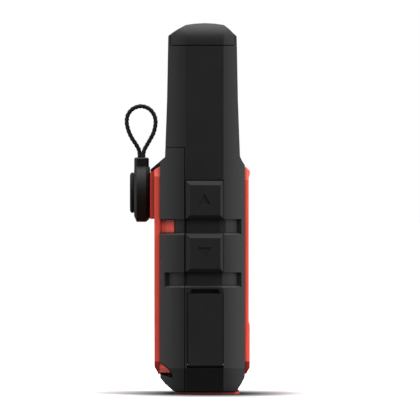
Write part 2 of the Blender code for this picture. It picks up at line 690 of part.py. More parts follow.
def power_key():
    """The front power key, with a ring and bar symbol. Its slide axis is Y."""
    rim = rectangle((POWER_X - 3.7, POWER_X + 3.7), (POWER_Z - 2.7, POWER_Z + 2.7), 0.8)
    face = rectangle((POWER_X - 3.3, POWER_X + 3.3), (POWER_Z - 2.3, POWER_Z + 2.3), 0.7)
    key = loft("power_key", "Y", [(-12.62, face), (-12.25, rim), (-11.5, rim)])
    stem_x, stem_z = (POWER_X - 2.3, POWER_X + 2.3), (POWER_Z - 1.3, POWER_Z + 1.3)
    join(key, box("power_stem", stem_x, (-11.8, -8.3), stem_z))
    sweep = [math.radians(120 + 300 * i / 12) for i in range(13)]
    outer = [(POWER_X + 1.45 * math.cos(t), POWER_Z - 0.1 + 1.45 * math.sin(t)) for t in sweep]
    inner = [(POWER_X + 1.0 * math.cos(t), POWER_Z - 0.1 + 1.0 * math.sin(t)) for t in reversed(sweep)]
    bar_x, bar_z = (POWER_X - 0.22, POWER_X + 0.22), (POWER_Z + 0.2, POWER_Z + 1.75)
    cut(key, box("power_bar", bar_x, (-13.5, -12.35), bar_z))
    cut(key, prism("power_ring", "Y", outer + inner, -13.2, -12.38))
    set_origin(key, (POWER_X, -8.3, POWER_Z))
    finish(key, RUBBER_BLACK, 0.6)
    switch_x, switch_z = (POWER_X - 2.2, POWER_X + 2.2), (POWER_Z - 2.2, POWER_Z + 2.2)
    finish(box("switch_power", switch_x, (-6.6, -5.2), switch_z), SWITCH_GREY, 0.45, 0.8)
    plunger = rod("plunger_power", "Y", (POWER_X, POWER_Z), 1.1, -8.1, -7.1, 12)
    set_origin(plunger, (POWER_X, -8.1, POWER_Z))
    finish(plunger, NYLON, 0.5)


def sos_button():
    """The guarded emergency button. Its slide axis is X."""
    centre = (STRIP_MID, BUTTON_Z)
    back, front = CAVITY_X - 0.8, CAVITY_X + 0.35
    button = turned("sos_button", "X", centre, [(back, 4.3), (front - 0.3, 4.3), (front, 3.9)], 24)
    set_origin(button, (back, *centre))
    finish(button, RED, 0.45)
    plunger_and_switch("sos", 1, BUTTON_Z)


def hinged_flap(name, side, plug):
    """A flush cap on a hinge along Y at its lower edge. The charging port's cap has a seal plug."""
    z_low, z_high = FLAP_Z
    trim = [(STRIP_X - 0.35, z_low), (STRIP_X, z_low + 0.35)]
    section = [(FLAP_X, z_low), *trim, (STRIP_X, z_high), (FLAP_X, z_high)]
    flap = prism(name, "Y", [(side * x, z) for x, z in section], *FLAP_Y)
    if plug:
        plug_x = sorted((side * (FLAP_X - 0.75), side * (FLAP_X + 0.2)))
        join(flap, prism(name + "_plug", "X", rectangle((-3.9, 0.0), (15.4, 23.4), 0.8), *plug_x))
    nail_x = sorted((side * (STRIP_X - 0.6), side * REACH))
    cut(flap, box(name + "_nail", nail_x, (-4.64, 3.04), (z_high - 0.2, REACH)))
    cut(flap, rod(name + "_bore", "Y", (side * HINGE_X, HINGE_Z), PIN_R + 0.1, -REACH, REACH, 10))
    set_origin(flap, (side * HINGE_X, FLAP_MID_Y, HINGE_Z))
    return flap


def flaps():
    finish(hinged_flap("usb_weather_cap", -1, True), RUBBER_BLACK, 0.6)
    finish(hinged_flap("sos_cap", 1, False), BLACK, 0.5)
    for name, side in (("usb_cap_pin", -1), ("sos_cap_pin", 1)):
        pin = rod(name, "Y", (side * HINGE_X, HINGE_Z), PIN_R, FLAP_Y[0] - 0.55, PART_Y - 0.25, 8)
        finish(pin, STEEL, 0.3, 1.0)


# ---------------------------------------------------------------- inside
def main_board():
    outline = rectangle((-PCB_X, PCB_X), (7.2, 60.8), 3.0)
    finish(prism("main_pcb", "Y", outline, *PCB_Y), GREEN_BOARD, 0.45)
    can = loft("rf_shield_can", "Y", [
        (-3.8, rectangle((-11.0, 11.0), (16.0, 40.0), 0.8)),
        (-1.9, rectangle((-11.0, 11.0), (16.0, 40.0), 0.8)),
        (-1.6, rectangle((-10.7, 10.7), (16.3, 39.7), 0.8)),
    ])
    finish(can, STEEL, 0.35, 1.0)
    patch = prism("gps_patch_antenna", "Y", rectangle((0.5, 12.5), (46.6, 58.6), 0.6), -3.8, -0.2)
    finish(patch, (0.60, 0.55, 0.46), 0.5)
    finish(rod("beeper", "Y", (-8.0, 51.0), 4.2, -3.8, -1.2, 20), (0.03, 0.03, 0.03), 0.5)
    port = prism("usb_receptacle", "X", rectangle((-3.8, -1.1), (15.6, 23.2), 0.7), -22.6, -16.8)
    cut(port, prism("usb_mouth", "X", rectangle((-3.5, -1.4), (15.9, 22.9), 0.6), -REACH, -18.0))
    join(port, box("usb_tongue", (-21.9, -17.6), (-2.75, -2.15), (16.9, 21.9)))
    finish(port, STEEL, 0.3, 1.0)


def battery():
    pack = prism("battery_pack", "Y", rectangle((-BATTERY_X, BATTERY_X), (8.6, 45.4), 1.2), 0.2, 6.2)
    finish(pack, (0.05, 0.07, 0.12), 0.5)
    finish(box("battery_foam", (-11, 11), (6.5, 9.0), (13.0, 41.0)), (0.04, 0.04, 0.04), 0.95)


def antenna():
    centre = (TOWER_X, -0.1)
    outline = rectangle((TOWER_X - 6.5, TOWER_X + 6.5), (-5.0, 5.0), 1.5)
    finish(prism("antenna_board", "Z", outline, 66.8, 67.8), GREEN_BOARD, 0.45)
    finish(rod("antenna_core", "Z", centre, 4.0, 68.1, 90.5, 20), (0.68, 0.66, 0.60), 0.5)
    finish(helix("antenna_helix", centre, 4.75, 0.32, 68.6, 89.5, 4.0), (0.60, 0.32, 0.16), 0.3, 1.0)
    route = [
        (-12.0, -1.5, 66.5), (-12.0, -1.5, 63.5), (-12.2, -2.0, 61.0), (-12.8, -2.6, 58.5),
        (-13.2, -3.1, 56.6),
    ]
    finish(tube("antenna_coax", route, 0.75), (0.10, 0.10, 0.10), 0.5)


def tube(name, route, radius):
    """A round tube along a route of points."""
    curve = bpy.data.curves.new(name, "CURVE")
    curve.dimensions = "3D"
    curve.bevel_depth = radius * MM
    curve.bevel_resolution = 2
    curve.use_fill_caps = True
    spline = curve.splines.new("POLY")
    spline.points.add(len(route) - 1)
    for point, place_at in zip(spline.points, route):
        point.co = (*(Vector(place_at) * MM), 1)
    obj = bpy.data.objects.new(name, curve)
    PARTS.objects.link(obj)
    return obj


def helix(name, centre, radius, wire, low, high, turns):
    """A round wire wound up the core."""
    steps = int(turns * 14)
    route = []
    for i in range(steps + 1):
        angle = 2 * math.pi * turns * i / steps
        x, y = centre[0] + radius * math.cos(angle), centre[1] + radius * math.sin(angle)
        route.append((x, y, low + (high - low) * i / steps))
    return tube(name, route, wire)


def housing_gasket():
    """The seal between the two housings, just inside the parting line."""
    wide, narrow = CAVITY_X - 1.25, CAVITY_X - 2.15
    outer = [
        (-wide, 9.0), (-17.6, 3.2), (17.6, 3.2), (wide, 9.0), (wide, 57.4), (17.6, 62.4), (-wide, 62.4),
    ]
    inner = [
        (-narrow, 9.4), (-17.2, 4.2), (17.2, 4.2), (narrow, 9.4), (narrow, 57.0), (17.2, 61.4),
        (-narrow, 61.4),
    ]
    gasket = ring_plate("housing_gasket", outer, inner, PART_Y - 0.24, PART_Y + 0.5)
    finish(gasket, (0.10, 0.10, 0.11), 0.8)


def housing_screws():
    """Four screws from the back, through the red plate and the back housing."""
    number = 1
    for z in SCREW_Z:
        for side in (-1, 1):
            centre = (side * SCREW_X, z)
            name = f"housing_screw_{number}"
            profile = [(1.2, 0.75), (11.62, 0.75), (11.62, 1.9), (12.35, 1.9), (12.55, 1.6)]
            screw = turned(name, "Y", centre, profile, 12)
            cut(screw, prism(name + "_drive", "Y", circle(centre, 0.8, 6), 12.0, REACH))
            finish(screw, STEEL, 0.3, 1.0)
            number += 1


# ---------------------------------------------------------------- lanyard adapter
def adapter_body():
    """The round puck with a collar for the cord. The whole adapter slides along Z."""
    low, high = ADAPTER_Y
    rim = [(low, ADAPTER_R - 0.7), (low + 0.8, ADAPTER_R), (high - 0.7, ADAPTER_R), (high, ADAPTER_R - 1.6)]
    body = turned("adapter_body", "Y", (0.0, ADAPTER_Z), rim, 28)
    flat = rectangle((-COLLAR_X, COLLAR_X), (low + 0.05, high - 0.05), 0.7)
    top = rectangle((-COLLAR_X + 0.3, COLLAR_X - 0.3), (low + 0.35, high - 0.35), 0.6)
    collar = [(ADAPTER_Z + 3, flat), (COLLAR_TOP - 0.3, flat), (COLLAR_TOP, top)]
    join(body, loft("adapter_collar", "Z", collar))
    cut(body, rod("cord_bore", "Z", CORD_CENTRE, 1.42, 58.2, HEIGHT))
    cut(body, rod("screw_bore", "Y", (0.0, ADAPTER_Z), 1.2, 0, high - 1.6, 14))
    cut(body, rod("screw_head_bore", "Y", (0.0, ADAPTER_Z), 2.4, high - 1.6, REACH, 18))
    set_origin(body, ADAPTER_ORIGIN)
    finish(body, RUBBER_BLACK, 0.55)


def adapter():
    adapter_body()
    low, high = ADAPTER_Y
    centre = (0.0, ADAPTER_Z)
    cap_r, cap_face = ADAPTER_CAP_R, ADAPTER_BACK
    rim = [(high + 0.1, cap_r), (cap_face - 0.45, cap_r), (cap_face, cap_r - 0.5)]
    cap = turned("adapter_cap", "Y", centre, rim, 28)
    set_origin(cap, ADAPTER_ORIGIN)
    finish(cap, (0.035, 0.035, 0.037), 0.5)
    foot = box("adapter_foot", (-FOOT_X, FOOT_X), (12.15, 12.85), FOOT_Z)
    join(foot, box("adapter_neck", (-NECK_X, NECK_X), (12.5, low - GAP), FOOT_Z))
    cut(foot, rod("foot_thread", "Y", centre, 0.95, 12.4, REACH, 12))
    set_origin(foot, ADAPTER_ORIGIN)
    finish(foot, STEEL, 0.35, 1.0)
    head = high - 1.4
    profile = [(12.6, 0.75), (head, 0.75), (head, 2.1), (high - 0.3, 2.1)]
    screw = turned("adapter_screw", "Y", centre, profile, 12)
    cut(screw, prism("adapter_screw_drive", "Y", circle(centre, 1.0, 6), high - 0.9, REACH))
    set_origin(screw, ADAPTER_ORIGIN)
    finish(screw, STEEL, 0.3, 1.0)


def cord_and_knot():
    knot = turned("cord_knot", "Z", CORD_CENTRE, [(58.5, 0.8), (58.9, 1.15), (59.9, 1.15), (60.3, 0.8)], 12)
    finish(knot, (0.015, 0.015, 0.016), 0.85)
    finish(tube("lanyard_cord", CORD_ROUTE, CORD_D / 2), (0.015, 0.015, 0.016), 0.85)


def main():
    for obj in list(bpy.data.objects):
        bpy.data.objects.remove(obj, do_unlink=True)
    for collection in (PARTS, CUTTERS):
        bpy.context.scene.collection.children.link(collection)
    CUTTERS.hide_render = True
    front_housing()
    rear_housing()
    antenna_cap()
    front_bezel()
    rear_shell()
    base_plate()
    display_lens()
    display_stack()
    side_keys()
    power_key()
    sos_button()
    flaps()
    main_board()
    battery()
    antenna()
    housing_gasket()
    housing_screws()
    adapter()
    cord_and_knot()


main()
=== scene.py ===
"""Looks for a pocket satellite communicator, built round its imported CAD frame.

World axes in metres: +Z up, the display faces -Y, and the camera looks along +X at the left side.
"""

import math

import bmesh
import bpy
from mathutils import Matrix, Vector


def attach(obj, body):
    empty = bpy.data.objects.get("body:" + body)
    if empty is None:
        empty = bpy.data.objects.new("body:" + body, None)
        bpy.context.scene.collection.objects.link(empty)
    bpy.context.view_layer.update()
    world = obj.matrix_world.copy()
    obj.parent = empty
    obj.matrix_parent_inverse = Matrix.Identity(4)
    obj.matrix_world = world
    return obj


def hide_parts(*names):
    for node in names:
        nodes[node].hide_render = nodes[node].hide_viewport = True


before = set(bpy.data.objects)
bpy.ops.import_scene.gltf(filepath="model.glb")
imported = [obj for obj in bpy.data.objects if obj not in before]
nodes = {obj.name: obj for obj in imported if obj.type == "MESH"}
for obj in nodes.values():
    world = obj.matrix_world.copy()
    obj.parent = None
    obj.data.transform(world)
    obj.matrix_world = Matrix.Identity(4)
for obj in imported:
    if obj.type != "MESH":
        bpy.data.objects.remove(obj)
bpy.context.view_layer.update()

MM = 0.001

# Camera: a long lens square to the left side
VIEW_WIDTH = 111.9 * MM
VIEW_PLANE_X = -22 * MM
VIEW_CENTRE_Y, VIEW_CENTRE_Z = -2.1 * MM, 49.2 * MM
LENS_MM, SENSOR_MM = 800, 36

# Half lengths in X and Y of the painted pool of shadow on the floor, and its middle
SHADE_X, SHADE_Y = 38 * MM, 19.5 * MM
SHADE_CENTRE = Vector((-7, -2.5, 0)) * MM
SHADE_FADE = (0.3, 2.4)  # in half lengths, from darkest to white
FLOOR_Z, FLOOR_WHITE = -0.03 * MM, 0.97

# Lanyard cord
CORD_D = 1.2 * MM
CORD_ROUTE = [
    (0.42, 16.80, 60.6), (0.42, 16.82, 63.3), (0.40, 16.95, 65.15), (0.34, 17.72, 66.75),
    (0.26, 18.79, 68.35), (0.18, 19.59, 69.95), (0.10, 20.09, 71.55), (0.04, 20.28, 73.15),
    (0.0, 19.88, 74.95), (0.0, 18.55, 76.45), (0.0, 16.42, 77.10), (0.0, 14.28, 76.40),
    (0.0, 12.98, 74.85), (-0.04, 12.53, 73.15), (-0.10, 12.66, 71.55), (-0.18, 13.08, 69.95),
    (-0.26, 13.88, 68.35), (-0.34, 14.79, 66.75), (-0.42, 15.62, 65.15), (-0.46, 15.84, 63.3),
    (-0.46, 15.86, 60.6),
]
CORD_ROUTE = [Vector(point) * MM for point in CORD_ROUTE]
BRAID_STEP = 0.07 * MM
BRAID_SIDES = 32
BRAID_STRANDS = 4  # in each direction
BRAID_PITCH = 4.4 * MM
BRAID_RELIEF = 0.13 * MM

# Millimetres that the finishes use
SYMBOL_REACH = 3.37  # from a side key's origin to the floor of its symbol
PIXEL_PITCH = 0.18


# ---------------------------------------------------------------- camera, light and floor
def add_camera():
    data = bpy.data.cameras.new("camera")
    data.lens = LENS_MM
    data.sensor_width = SENSOR_MM
    data.clip_start, data.clip_end = 0.1, 60
    camera = bpy.data.objects.new("camera", data)
    distance = VIEW_WIDTH * LENS_MM / SENSOR_MM
    camera.location = (VIEW_PLANE_X - distance, VIEW_CENTRE_Y, VIEW_CENTRE_Z)
    camera.rotation_euler = (math.pi / 2, 0, -math.pi / 2)
    bpy.context.scene.collection.objects.link(camera)
    bpy.context.scene.camera = camera


def softbox(name, direction, distance, width, height, radiance):
    """A rectangular light that faces the middle of the object. The world makes the reflections."""
    data = bpy.data.lights.new(name, "AREA")
    data.shape = "RECTANGLE"
    data.size, data.size_y = width, height
    data.energy = radiance * math.pi * width * height
    light = bpy.data.objects.new(name, data)
    target = Vector((0, 0, VIEW_CENTRE_Z))
    away = Vector(direction).normalized()
    light.location = target + away * distance
    light.rotation_euler = away.to_track_quat("Z", "Y").to_euler()
    light.visible_camera = False
    light.visible_glossy = False
    bpy.context.scene.collection.objects.link(light)


def add_floor():
    """A white floor with a painted soft pool of shadow in its material, fixed under the device."""
    bpy.ops.mesh.primitive_plane_add(size=60, location=(0, 0, FLOOR_Z))
    floor = bpy.context.object
    floor.name = "floor"
    floor.visible_glossy = False
    floor.visible_diffuse = False
    tree, shader = new_material(floor, "floor_white")
    # Painted shadow: the floor's colour darkens in an ellipse around the device's base
    place = node(tree, "ShaderNodeTexCoord").outputs["Object"]
    points = {0: place, 1: SHADE_CENTRE}
    offset = node(tree, "ShaderNodeVectorMath", points, operation="SUBTRACT").outputs["Vector"]
    pool = {"Vector": offset, "Scale": (1 / SHADE_X, 1 / SHADE_Y, 1)}
    around = node(tree, "ShaderNodeMapping", pool).outputs["Vector"]
    reach = node(tree, "ShaderNodeVectorMath", {0: around}, operation="LENGTH").outputs["Value"]
    fade = {"Value": reach, "From Min": SHADE_FADE[0], "From Max": SHADE_FADE[1]}
    fade.update({"To Min": 0.0, "To Max": FLOOR_WHITE})
    white = node(tree, "ShaderNodeMapRange", fade, interpolation_type="SMOOTHSTEP").outputs["Result"]
    painted_shadow = node(tree, "ShaderNodeCombineColor", {0: white, 1: white, 2: white})
    tree.links.new(painted_shadow.outputs[0], shader.inputs["Base Color"])
    shader.inputs["Roughness"].default_value = 0.9


def add_world():
    """White behind the object. It reflects walls in front and behind, and a bright ceiling."""
    world = bpy.data.worlds.new("studio")
    bpy.context.scene.world = world
    world.use_nodes = True
    tree = world.node_tree
    world.cycles.sampling_method = "NONE"
    path = tree.nodes.new("ShaderNodeLightPath")
    direction = node(tree, "ShaderNodeTexCoord").outputs["Generated"]
    towards = node(tree, "ShaderNodeSeparateXYZ", {"Vector": direction})
    z = towards.outputs["Z"]
    # Y of the direction once it is turned level. 1.001 keeps the root above 0 straight up.
    level = calculate(tree, "SQRT", calculate(tree, "SUBTRACT", 1.001, calculate(tree, "MULTIPLY", z, z)))
    y = calculate(tree, "DIVIDE", towards.outputs["Y"], level)
    diffuse = ramp(tree, z, (-0.2, 0.9), (0.22, 1.45))
    front_wall = ramp(tree, y, (-0.62, -0.95), (0.0, 0.90))
    back_wall = ramp(tree, y, (0.60, 0.95), (0.0, 0.70))
    sides = calculate(tree, "ADD", front_wall, back_wall)
    sides = calculate(tree, "MULTIPLY", sides, ramp(tree, z, (-0.95, -0.6), (0.2, 1.0)))
    horizon = ramp(tree, z, (-0.6, -0.1), (0.0, 1.0))
    ceiling = ramp(tree, z, (0.5, 0.95), (0.10, 2.4))
    glossy = calculate(tree, "ADD", sides, calculate(tree, "MULTIPLY", horizon, ceiling))
    seen = node(tree, "ShaderNodeMix", {"Factor": path.outputs["Is Glossy Ray"], "A": diffuse, "B": glossy})
    backdrop = {"Factor": path.outputs["Is Camera Ray"], "A": seen.outputs["Result"], "B": 1.0}
    background = tree.nodes["Background"]
    background.inputs["Color"].default_value = (1, 1, 1, 1)
    tree.links.new(node(tree, "ShaderNodeMix", backdrop).outputs["Result"], background.inputs["Strength"])


def add_lights():
    softbox("front_key", (-0.6, -1.0, 0.6), 1.2, 0.6, 1.0, 17.0)
    softbox("back_key", (-0.8, 0.55, 1.1), 1.2, 0.5, 0.5, 8.0)
    softbox("top_fill", (-0.6, 0.0, 1.0), 1.2, 1.2, 0.5, 1.8)
    softbox("right_fill", (1.0, -0.3, 0.35), 1.4, 0.8, 1.2, 0.9)


# ---------------------------------------------------------------- node helpers
def new_material(obj, name):
    """A new node material in the object's only slot: its tree and its shader."""
    material = bpy.data.materials.new(name)
    material.use_nodes = True
    obj.data.materials.clear()
    obj.data.materials.append(material)
    return material.node_tree, material.node_tree.nodes["Principled BSDF"]


def node(tree, kind, inputs=None, **settings):
    made = tree.nodes.new(kind)
    for key, value in settings.items():
        setattr(made, key, value)
    for key, value in (inputs or {}).items():
        if isinstance(value, bpy.types.NodeSocket):
            tree.links.new(value, made.inputs[key])
        else:
            made.inputs[key].default_value = value
    return made


def ramp(tree, value, source, target):
    """The value moved from one range to another, and held at its ends."""
    inputs = {"Value": value, "From Min": source[0], "From Max": source[1]}
    inputs.update({"To Min": target[0], "To Max": target[1]})
    return node(tree, "ShaderNodeMapRange", inputs).outputs["Result"]


def calculate(tree, operation, a, b=0.0):
    made = node(tree, "ShaderNodeMath", {0: a, 1: b}, operation=operation)
    return made.outputs["Value"]


def blend(tree, factor, a, b):
    """A colour between a and b."""
    made = node(tree, "ShaderNodeMix", data_type="RGBA")
    for key, value in ((0, factor), (6, a), (7, b)):
        if isinstance(value, bpy.types.NodeSocket):
            tree.links.new(value, made.inputs[key])
        elif key:
            made.inputs[key].default_value = (*value, 1)
        else:
            made.inputs[key].default_value = value
    return made.outputs[2]


def millimetres(tree, stretch=(1, 1, 1)):
    """Object coordinates in millimetres, scaled along each axis."""
    place = node(tree, "ShaderNodeTexCoord").outputs["Object"]
    scale = tuple(1000 * value for value in stretch)
    return node(tree, "ShaderNodeMapping", {"Vector": place, "Scale": scale}).outputs["Vector"]


def noise(tree, coords, scale, detail=2.0, rough=0.5):
    inputs = {"Vector": coords, "Scale": scale, "Detail": detail, "Roughness": rough}
    return node(tree, "ShaderNodeTexNoise", inputs).outputs["Fac"]


def cells(tree, coords, scale):
    inputs = {"Vector": coords, "Scale": scale}
    return node(tree, "ShaderNodeTexVoronoi", inputs).outputs["Distance"]


def edge_wear(tree, radius, strength):
    """0 on flat stretches, rising to the strength on convex and concave edges."""
    rounded = node(tree, "ShaderNodeBevel", {"Radius": radius * MM}, samples=4)
    flat = node(tree, "ShaderNodeNewGeometry")
    both = {0: rounded.outputs["Normal"], 1: flat.outputs["Normal"]}
    likeness = node(tree, "ShaderNodeVectorMath", both, operation="DOT_PRODUCT").outputs["Value"]
    return ramp(tree, likeness, (1.0, 0.82), (0.0, strength))


def openness(tree, reach, fade, darkest):
    """1 in the open, falling to the darkest value deep in slots and grooves: the share of colour left by
    painted shade.
    """
    open_air = node(tree, "ShaderNodeAmbientOcclusion", {"Distance": reach * MM}, samples=8).outputs["AO"]
    return ramp(tree, open_air, fade, (darkest, 1.0))


def bump(tree, shader, height, depth, strength=1.0):
    """Relief of this depth in millimetres."""
    inputs = {"Height": height, "Distance": depth * MM, "Strength": strength}
    tree.links.new(node(tree, "ShaderNodeBump", inputs).outputs["Normal"], shader.inputs["Normal"])


def shade(colour, factor):
    return tuple(value * factor for value in colour)


# ---------------------------------------------------------------- materials
# Painted shade in crevices: how far a crevice is felt in mm, the open shares it fades between, and how dark
# it gets
BLACK_CREVICE_SHADE = (3.0, (0.25, 0.8), 0.25)
RED_CREVICE_SHADE = (5.0, (0.45, 0.74), 0.08)


def sunk_symbol(tree, coords):
    """1 on the floor of a side key's recessed symbol, 0 elsewhere on the key."""
    across = node(tree, "ShaderNodeSeparateXYZ", {"Vector": coords}).outputs["X"]
    normal = node(tree, "ShaderNodeNewGeometry").outputs["True Normal"]
    facing = node(tree, "ShaderNodeSeparateXYZ", {"Vector": normal}).outputs["X"]
    square = ramp(tree, calculate(tree, "ABSOLUTE", facing), (0.97, 0.99), (0.0, 1.0))
    edge = (SYMBOL_REACH + 0.1, SYMBOL_REACH + 0.05)
    low = ramp(tree, calculate(tree, "ABSOLUTE", across), edge, (0.0, 1.0))
    return calculate(tree, "MULTIPLY", square, low)


def moulded(name, colour, rough, grain=7.0, depth=0.006, worn=0.35, level=0.5, crevice_shade=BLACK_CREVICE_SHADE, symbol=False):
    """Moulded plastic or rubber with a spark-eroded grain, blotches, rubbed edges and painted shade in its
    crevices.
    """
    def build(obj):
        tree, shader = new_material(obj, name)
        coords = millimetres(tree)
        fine = noise(tree, coords, grain, 3.0, 0.6)
        broad = noise(tree, coords, 0.11, 2.0)
        patches = ramp(tree, noise(tree, coords, 0.7, 3.0), (0.35, 0.65), (0.3, 1.0))
        rubbed = calculate(tree, "MULTIPLY", edge_wear(tree, 0.22, worn), patches)
        base = blend(tree, broad, shade(colour, 0.88), shade(colour, 1.12))
        lighter = tuple(value * 1.5 + 0.012 for value in colour)
        # Painted shade: the colour darkens to a tenth of itself where ambient occlusion finds a crevice
        painted_lightness = openness(tree, *crevice_shade)
        # Painted shade on the floor of the recessed symbol, darkening it to a tenth
        if symbol:
            symbol_shade = ramp(tree, sunk_symbol(tree, coords), (0, 1), (1.0, 0.1))
            painted_lightness = calculate(tree, "MULTIPLY", painted_lightness, symbol_shade)
        surface = blend(tree, painted_lightness, shade(colour, 0.1), blend(tree, rubbed, base, lighter))
        tree.links.new(surface, shader.inputs["Base Color"])
        shader.inputs["Specular IOR Level"].default_value = level
        grit = ramp(tree, fine, (0.3, 0.7), (rough - 0.03, rough + 0.03))
        polished = calculate(tree, "ADD", grit, ramp(tree, broad, (0.3, 0.7), (-0.03, 0.03)))
        polished = calculate(tree, "ADD", polished, calculate(tree, "MULTIPLY", rubbed, -0.12))
        crevice_roughness = calculate(tree, "MULTIPLY", calculate(tree, "SUBTRACT", 1.0, painted_lightness), 0.3)
        tree.links.new(calculate(tree, "ADD", polished, crevice_roughness), shader.inputs["Roughness"])
        bump(tree, shader, fine, depth)
    return build


def metal(name, colour, rough, stretch=(1, 1, 1), grain=9.0):
    """Plated or drawn metal with fine marks along the stretched axis and small stains."""
    def build(obj):
        tree, shader = new_material(obj, name)
        lines = noise(tree, millimetres(tree, stretch), grain, 4.0, 0.7)
        stains = noise(tree, millimetres(tree), 1.3, 3.0)
        tone = blend(tree, stains, shade(colour, 0.82), colour)
        tree.links.new(tone, shader.inputs["Base Color"])
        tree.links.new(ramp(tree, lines, (0.3, 0.7), (rough - 0.08, rough + 0.1)), shader.inputs["Roughness"])
        shader.inputs["Metallic"].default_value = 1.0
        bump(tree, shader, lines, 0.004)
    return build


def board(obj):
    """Solder mask over traces, with gold pads."""
    tree, shader = new_material(obj, "circuit_board")
    coords = millimetres(tree)
    bricks = {"Vector": coords, "Scale": 0.55, "Mortar Size": 0.035, "Mortar Smooth": 0.2, "Bias": 0.0}
    bricks.update({"Color1": (0, 0, 0, 1), "Color2": (0.1, 0.1, 0.1, 1), "Mortar": (1, 1, 1, 1)})
    traces = node(tree, "ShaderNodeTexBrick", bricks).outputs["Color"]
    pads = ramp(tree, cells(tree, coords, 0.6), (0.10, 0.13), (1.0, 0.0))
    mask = blend(tree, traces, (0.010, 0.060, 0.026), (0.022, 0.120, 0.050))
    tree.links.new(blend(tree, pads, mask, (0.72, 0.52, 0.20)), shader.inputs["Base Color"])
    tree.links.new(pads, shader.inputs["Metallic"])
    tree.links.new(ramp(tree, noise(tree, coords, 3.0), (0.3, 0.7), (0.28, 0.42)), shader.inputs["Roughness"])
    bump(tree, shader, traces, 0.02)


def ceramic(obj):
    tree, shader = new_material(obj, "fired_ceramic")
    coords = millimetres(tree)
    specks = ramp(tree, cells(tree, coords, 2.6), (0.05, 0.25), (0.0, 1.0))
    body = blend(tree, noise(tree, coords, 0.5, 4.0), (0.50, 0.45, 0.36), (0.66, 0.61, 0.52))
    tree.links.new(blend(tree, specks, (0.28, 0.24, 0.18), body), shader.inputs["Base Color"])
    tree.links.new(ramp(tree, noise(tree, coords, 5.0), (0.3, 0.7), (0.42, 0.62)), shader.inputs["Roughness"])
    bump(tree, shader, noise(tree, coords, 8.0, 4.0), 0.01)


def cell_wrap(obj):
    """Shrink film with soft creases."""
    tree, shader = new_material(obj, "shrink_film")
    coords = millimetres(tree, (0.5, 0.5, 1.6))
    creases = noise(tree, coords, 0.45, 5.0, 0.6)
    film = blend(tree, creases, (0.020, 0.035, 0.075), (0.050, 0.075, 0.130))
    tree.links.new(film, shader.inputs["Base Color"])
    tree.links.new(ramp(tree, creases, (0.3, 0.7), (0.22, 0.42)), shader.inputs["Roughness"])
    bump(tree, shader, creases, 0.12)


def foam(obj):
    tree, shader = new_material(obj, "open_cell_foam")
    pores = cells(tree, millimetres(tree), 2.4)
    cell_walls = blend(tree, pores, (0.012, 0.012, 0.013), (0.060, 0.060, 0.062))
    tree.links.new(cell_walls, shader.inputs["Base Color"])
    shader.inputs["Roughness"].default_value = 0.95
    bump(tree, shader, pores, 0.2)


def liquid_crystal(obj):
    """A blank reflective display: grey-green, with a fine grid of pixels."""
    tree, shader = new_material(obj, "liquid_crystal")
    coords = millimetres(tree)
    split = node(tree, "ShaderNodeSeparateXYZ", {"Vector": coords})
    turns = 2 * math.pi / PIXEL_PITCH
    rows = calculate(tree, "SINE", calculate(tree, "MULTIPLY", split.outputs["Z"], turns))
    columns = calculate(tree, "SINE", calculate(tree, "MULTIPLY", split.outputs["X"], turns))
    grid = ramp(tree, calculate(tree, "MAXIMUM", rows, columns), (0.6, 1.0), (0.0, 0.25))
    tint = blend(tree, noise(tree, coords, 0.05, 1.0), (0.235, 0.265, 0.220), (0.285, 0.315, 0.265))
    tree.links.new(blend(tree, grid, tint, (0.16, 0.18, 0.15)), shader.inputs["Base Color"])
    tree.links.new(ramp(tree, noise(tree, coords, 4.0), (0.3, 0.7), (0.26, 0.34)), shader.inputs["Roughness"])
    bump(tree, shader, grid, 0.003)


def window_glass(obj):
    """Hard-coated window with faint smears."""
    tree, shader = new_material(obj, "window_glass")
    coords = millimetres(tree)
    smears = noise(tree, coords, 0.16, 5.0, 0.6)
    shader.inputs["Base Color"].default_value = (0.86, 0.88, 0.88, 1)
    shader.inputs["Transmission Weight"].default_value = 1.0
    shader.inputs["IOR"].default_value = 1.49
    tree.links.new(ramp(tree, smears, (0.35, 0.75), (0.015, 0.07)), shader.inputs["Roughness"])
    bump(tree, shader, smears, 0.002)


def led_lens(obj):
    tree, shader = new_material(obj, "frosted_lens")
    coords = millimetres(tree)
    haze = noise(tree, coords, 3.0, 3.0)
    tree.links.new(blend(tree, haze, (0.34, 0.50, 0.36), (0.46, 0.60, 0.47)), shader.inputs["Base Color"])
    tree.links.new(ramp(tree, haze, (0.3, 0.7), (0.14, 0.28)), shader.inputs["Roughness"])
    shader.inputs["Transmission Weight"].default_value = 0.35
    bump(tree, shader, haze, 0.01)


def braided_yarn(obj):
    """Black polyester filaments that follow the strands, with painted shade darkening the gaps between them.
    """
    tree, shader = new_material(obj, "braided_yarn")
    coords = millimetres(tree)
    strands = node(tree, "ShaderNodeUVMap", uv_map="braid").outputs["UV"]
    fibres = {"Vector": strands, "Scale": 9.0, "Distortion": 1.2, "Detail": 2.0, "Detail Scale": 2.0}
    filaments = node(tree, "ShaderNodeTexWave", fibres).outputs["Fac"]
    relief = node(tree, "ShaderNodeAttribute", attribute_name="relief").outputs["Fac"]
    fuzz = noise(tree, coords, 9.0, 3.0)
    yarn = blend(tree, filaments, (0.003, 0.003, 0.003), (0.014, 0.014, 0.015))
    # Painted shade: the colour is darker where the relief is low, in the gaps between strands
    tree.links.new(blend(tree, relief, (0.002, 0.002, 0.002), yarn), shader.inputs["Base Color"])
    tree.links.new(ramp(tree, fuzz, (0.3, 0.7), (0.42, 0.62)), shader.inputs["Roughness"])
    shader.inputs["Specular IOR Level"].default_value = 0.25
    shader.inputs["Sheen Weight"].default_value = 0.08
    shader.inputs["Sheen Roughness"].default_value = 0.4
    bump(tree, shader, calculate(tree, "ADD", filaments, fuzz), 0.015)


